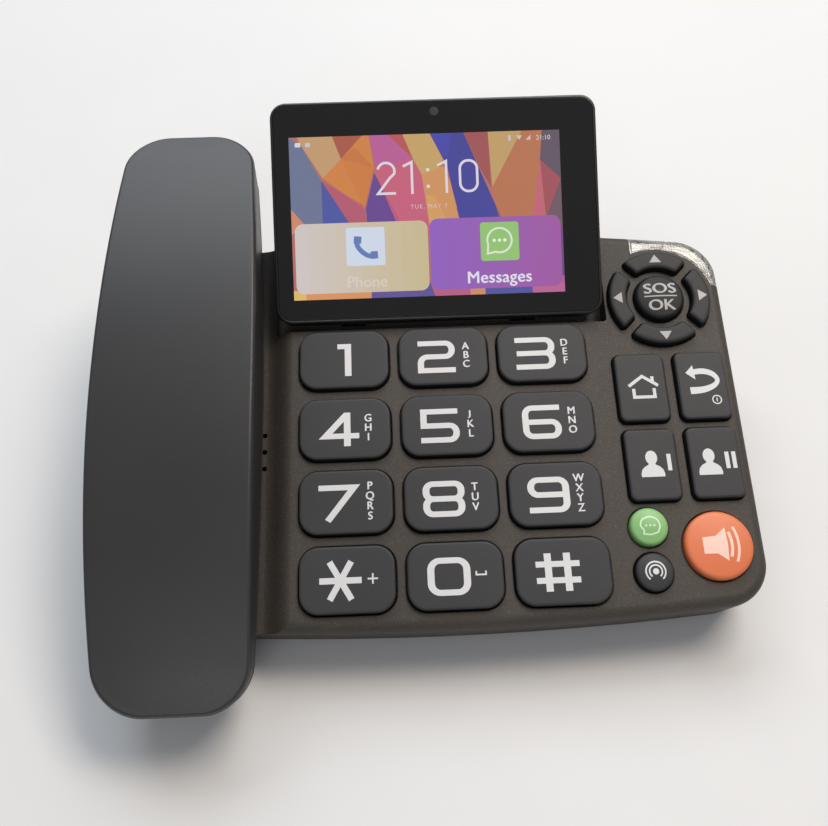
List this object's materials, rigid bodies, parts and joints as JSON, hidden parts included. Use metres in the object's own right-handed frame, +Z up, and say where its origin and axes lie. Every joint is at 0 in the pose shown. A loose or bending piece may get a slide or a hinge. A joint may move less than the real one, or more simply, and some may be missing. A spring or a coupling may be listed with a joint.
{
  "type": "cordless desk phone with base",
  "caption": "Sloping desk phone base with large number keys, round navigation keys, tilting touch screen and a lift-off cordless handset lying in a cradle at the left.",
  "frame": {"origin": "middle of the footprint of the whole phone's box, on the table surface under the feet", "axes": "+X to the user's right, +Y away from the user towards the screen's back, +Z up"},
  "size_m": [0.1966, 0.1779, 0.0925],
  "materials": {
    "shell_plastic": "fine matt texture",
    "handset_plastic": "smooth satin",
    "key_plastic": "smooth matt",
    "green_key": "satin",
    "orange_key": "satin",
    "rubber": "matt",
    "steel": "zinc plated",
    "silicone": "matt",
    "circuit_board": "solder mask",
    "white_board": "solder mask",
    "battery_wrap": "shrink wrap",
    "black_plastic": "moulded",
    "copper": "plated",
    "clear_lens": "ribbed clear",
    "gold_contact": "gold plated",
    "screen_plastic": "satin",
    "cover_glass": "glossy",
    "picture": "lit screen"
  },
  "bodies": {
    "base": {"base_top_shell": "shell_plastic", "base_bottom_shell": "shell_plastic", "rubber_feet": "rubber", "base_screws": "steel", "battery_door": "shell_plastic", "key_mat": "silicone", "main_board": "circuit_board", "base_battery": "battery_wrap", "loudspeaker": "black_plastic", "antenna": "copper", "power_socket": "black_plastic", "indicator_lens": "clear_lens", "indicator_board": "white_board", "hinge_bracket": "steel"},
    "screen": {"hinge_pin": "steel", "screen_bezel": "screen_plastic", "screen_glass": "cover_glass", "lcd_panel": "picture", "screen_board": "circuit_board", "camera": "black_plastic", "screen_back": "screen_plastic", "screen_screws": "steel"},
    "handset": {"handset_outer_shell": "handset_plastic", "handset_inner_shell": "handset_plastic", "handset_receiver": "black_plastic", "handset_microphone": "white_board", "handset_board": "circuit_board", "handset_battery": "battery_wrap", "handset_contacts": "gold_contact", "handset_screws": "steel"},
    "hook_plunger": {"hook_plunger": "key_plastic"},
    "charge_pins": {"charge_pins": "gold_contact"},
    "key_1": {"key_1": "key_plastic"},
    "key_2": {"key_2": "key_plastic"},
    "key_3": {"key_3": "key_plastic"},
    "key_4": {"key_4": "key_plastic"},
    "key_5": {"key_5": "key_plastic"},
    "key_6": {"key_6": "key_plastic"},
    "key_7": {"key_7": "key_plastic"},
    "key_8": {"key_8": "key_plastic"},
    "key_9": {"key_9": "key_plastic"},
    "key_star": {"key_star": "key_plastic"},
    "key_0": {"key_0": "key_plastic"},
    "key_hash": {"key_hash": "key_plastic"},
    "nav_key_right": {"nav_key_right": "key_plastic"},
    "nav_key_up": {"nav_key_up": "key_plastic"},
    "nav_key_left": {"nav_key_left": "key_plastic"},
    "nav_key_down": {"nav_key_down": "key_plastic"},
    "ok_key": {"ok_key": "key_plastic"},
    "home_key": {"home_key": "key_plastic"},
    "back_key": {"back_key": "key_plastic"},
    "contact_key_1": {"contact_key_1": "key_plastic"},
    "contact_key_2": {"contact_key_2": "key_plastic"},
    "green_key": {"green_key": "green_key"},
    "dark_key": {"dark_key": "key_plastic"},
    "speaker_key": {"speaker_key": "orange_key"}
  },
  "joints": [
    {"name": "screen_tilt", "type": "hinge", "parent": "base", "child": "screen", "pos_m": [0.0023, 0.03147, 0.04992], "axis": [1, 0, 0], "range_deg": [-12, 18]},
    {"name": "handset_lift", "type": "slide", "parent": "base", "child": "handset", "axis": [0, -0.2756, 0.9613], "range_m": [0, 0.06]},
    {"name": "hook_rise", "type": "slide", "parent": "base", "child": "hook_plunger", "axis": [0, -0.2756, 0.9613], "range_m": [0, 0.003]},
    {"name": "charge_pins_press", "type": "slide", "parent": "base", "child": "charge_pins", "axis": [0, 0.2756, -0.9613], "range_m": [0, 0.0008], "stiffness_N_per_m": 200, "springref_m": -0.0015},
    {"name": "key_1_press", "type": "slide", "parent": "base", "child": "key_1", "axis": [0, 0.2756, -0.9613], "range_m": [0, 0.0009], "stiffness_N_per_m": 400, "springref_m": -0.0012},
    {"name": "key_2_press", "type": "slide", "parent": "base", "child": "key_2", "axis": [0, 0.2756, -0.9613], "range_m": [0, 0.0009], "stiffness_N_per_m": 400, "springref_m": -0.0012},
    {"name": "key_3_press", "type": "slide", "parent": "base", "child": "key_3", "axis": [0, 0.2756, -0.9613], "range_m": [0, 0.0009], "stiffness_N_per_m": 400, "springref_m": -0.0012},
    {"name": "key_4_press", "type": "slide", "parent": "base", "child": "key_4", "axis": [0, 0.2756, -0.9613], "range_m": [0, 0.0009], "stiffness_N_per_m": 400, "springref_m": -0.0012},
    {"name": "key_5_press", "type": "slide", "parent": "base", "child": "key_5", "axis": [0, 0.2756, -0.9613], "range_m": [0, 0.0009], "stiffness_N_per_m": 400, "springref_m": -0.0012},
    {"name": "key_6_press", "type": "slide", "parent": "base", "child": "key_6", "axis": [0, 0.2756, -0.9613], "range_m": [0, 0.0009], "stiffness_N_per_m": 400, "springref_m": -0.0012},
    {"name": "key_7_press", "type": "slide", "parent": "base", "child": "key_7", "axis": [0, 0.2756, -0.9613], "range_m": [0, 0.0009], "stiffness_N_per_m": 400, "springref_m": -0.0012},
    {"name": "key_8_press", "type": "slide", "parent": "base", "child": "key_8", "axis": [0, 0.2756, -0.9613], "range_m": [0, 0.0009], "stiffness_N_per_m": 400, "springref_m": -0.0012},
    {"name": "key_9_press", "type": "slide", "parent": "base", "child": "key_9", "axis": [0, 0.2756, -0.9613], "range_m": [0, 0.0009], "stiffness_N_per_m": 400, "springref_m": -0.0012},
    {"name": "key_star_press", "type": "slide", "parent": "base", "child": "key_star", "axis": [0, 0.2756, -0.9613], "range_m": [0, 0.0009], "stiffness_N_per_m": 400, "springref_m": -0.0012},
    {"name": "key_0_press", "type": "slide", "parent": "base", "child": "key_0", "axis": [0, 0.2756, -0.9613], "range_m": [0, 0.0009], "stiffness_N_per_m": 400, "springref_m": -0.0012},
    {"name": "key_hash_press", "type": "slide", "parent": "base", "child": "key_hash", "axis": [0, 0.2756, -0.9613], "range_m": [0, 0.0009], "stiffness_N_per_m": 400, "springref_m": -0.0012},
    {"name": "nav_key_right_press", "type": "slide", "parent": "base", "child": "nav_key_right", "axis": [0, 0.2756, -0.9613], "range_m": [0, 0.0009], "stiffness_N_per_m": 400, "springref_m": -0.0012},
    {"name": "nav_key_up_press", "type": "slide", "parent": "base", "child": "nav_key_up", "axis": [0, 0.2756, -0.9613], "range_m": [0, 0.0009], "stiffness_N_per_m": 400, "springref_m": -0.0012},
    {"name": "nav_key_left_press", "type": "slide", "parent": "base", "child": "nav_key_left", "axis": [0, 0.2756, -0.9613], "range_m": [0, 0.0009], "stiffness_N_per_m": 400, "springref_m": -0.0012},
    {"name": "nav_key_down_press", "type": "slide", "parent": "base", "child": "nav_key_down", "axis": [0, 0.2756, -0.9613], "range_m": [0, 0.0009], "stiffness_N_per_m": 400, "springref_m": -0.0012},
    {"name": "ok_key_press", "type": "slide", "parent": "base", "child": "ok_key", "axis": [0, 0.2756, -0.9613], "range_m": [0, 0.0009], "stiffness_N_per_m": 400, "springref_m": -0.0012},
    {"name": "home_key_press", "type": "slide", "parent": "base", "child": "home_key", "axis": [0, 0.2756, -0.9613], "range_m": [0, 0.0009], "stiffness_N_per_m": 400, "springref_m": -0.0012},
    {"name": "back_key_press", "type": "slide", "parent": "base", "child": "back_key", "axis": [0, 0.2756, -0.9613], "range_m": [0, 0.0009], "stiffness_N_per_m": 400, "springref_m": -0.0012},
    {"name": "contact_key_1_press", "type": "slide", "parent": "base", "child": "contact_key_1", "axis": [0, 0.2756, -0.9613], "range_m": [0, 0.0009], "stiffness_N_per_m": 400, "springref_m": -0.0012},
    {"name": "contact_key_2_press", "type": "slide", "parent": "base", "child": "contact_key_2", "axis": [0, 0.2756, -0.9613], "range_m": [0, 0.0009], "stiffness_N_per_m": 400, "springref_m": -0.0012},
    {"name": "green_key_press", "type": "slide", "parent": "base", "child": "green_key", "axis": [0, 0.2756, -0.9613], "range_m": [0, 0.0009], "stiffness_N_per_m": 400, "springref_m": -0.0012},
    {"name": "dark_key_press", "type": "slide", "parent": "base", "child": "dark_key", "axis": [0, 0.2756, -0.9613], "range_m": [0, 0.0009], "stiffness_N_per_m": 400, "springref_m": -0.0012},
    {"name": "speaker_key_press", "type": "slide", "parent": "base", "child": "speaker_key", "axis": [0, 0.2756, -0.9613], "range_m": [0, 0.0009], "stiffness_N_per_m": 400, "springref_m": -0.0012}
  ],
  "couplings": [
    {"joint": "hook_rise", "follows": "handset_lift", "ratio": 0.05}
  ]
}
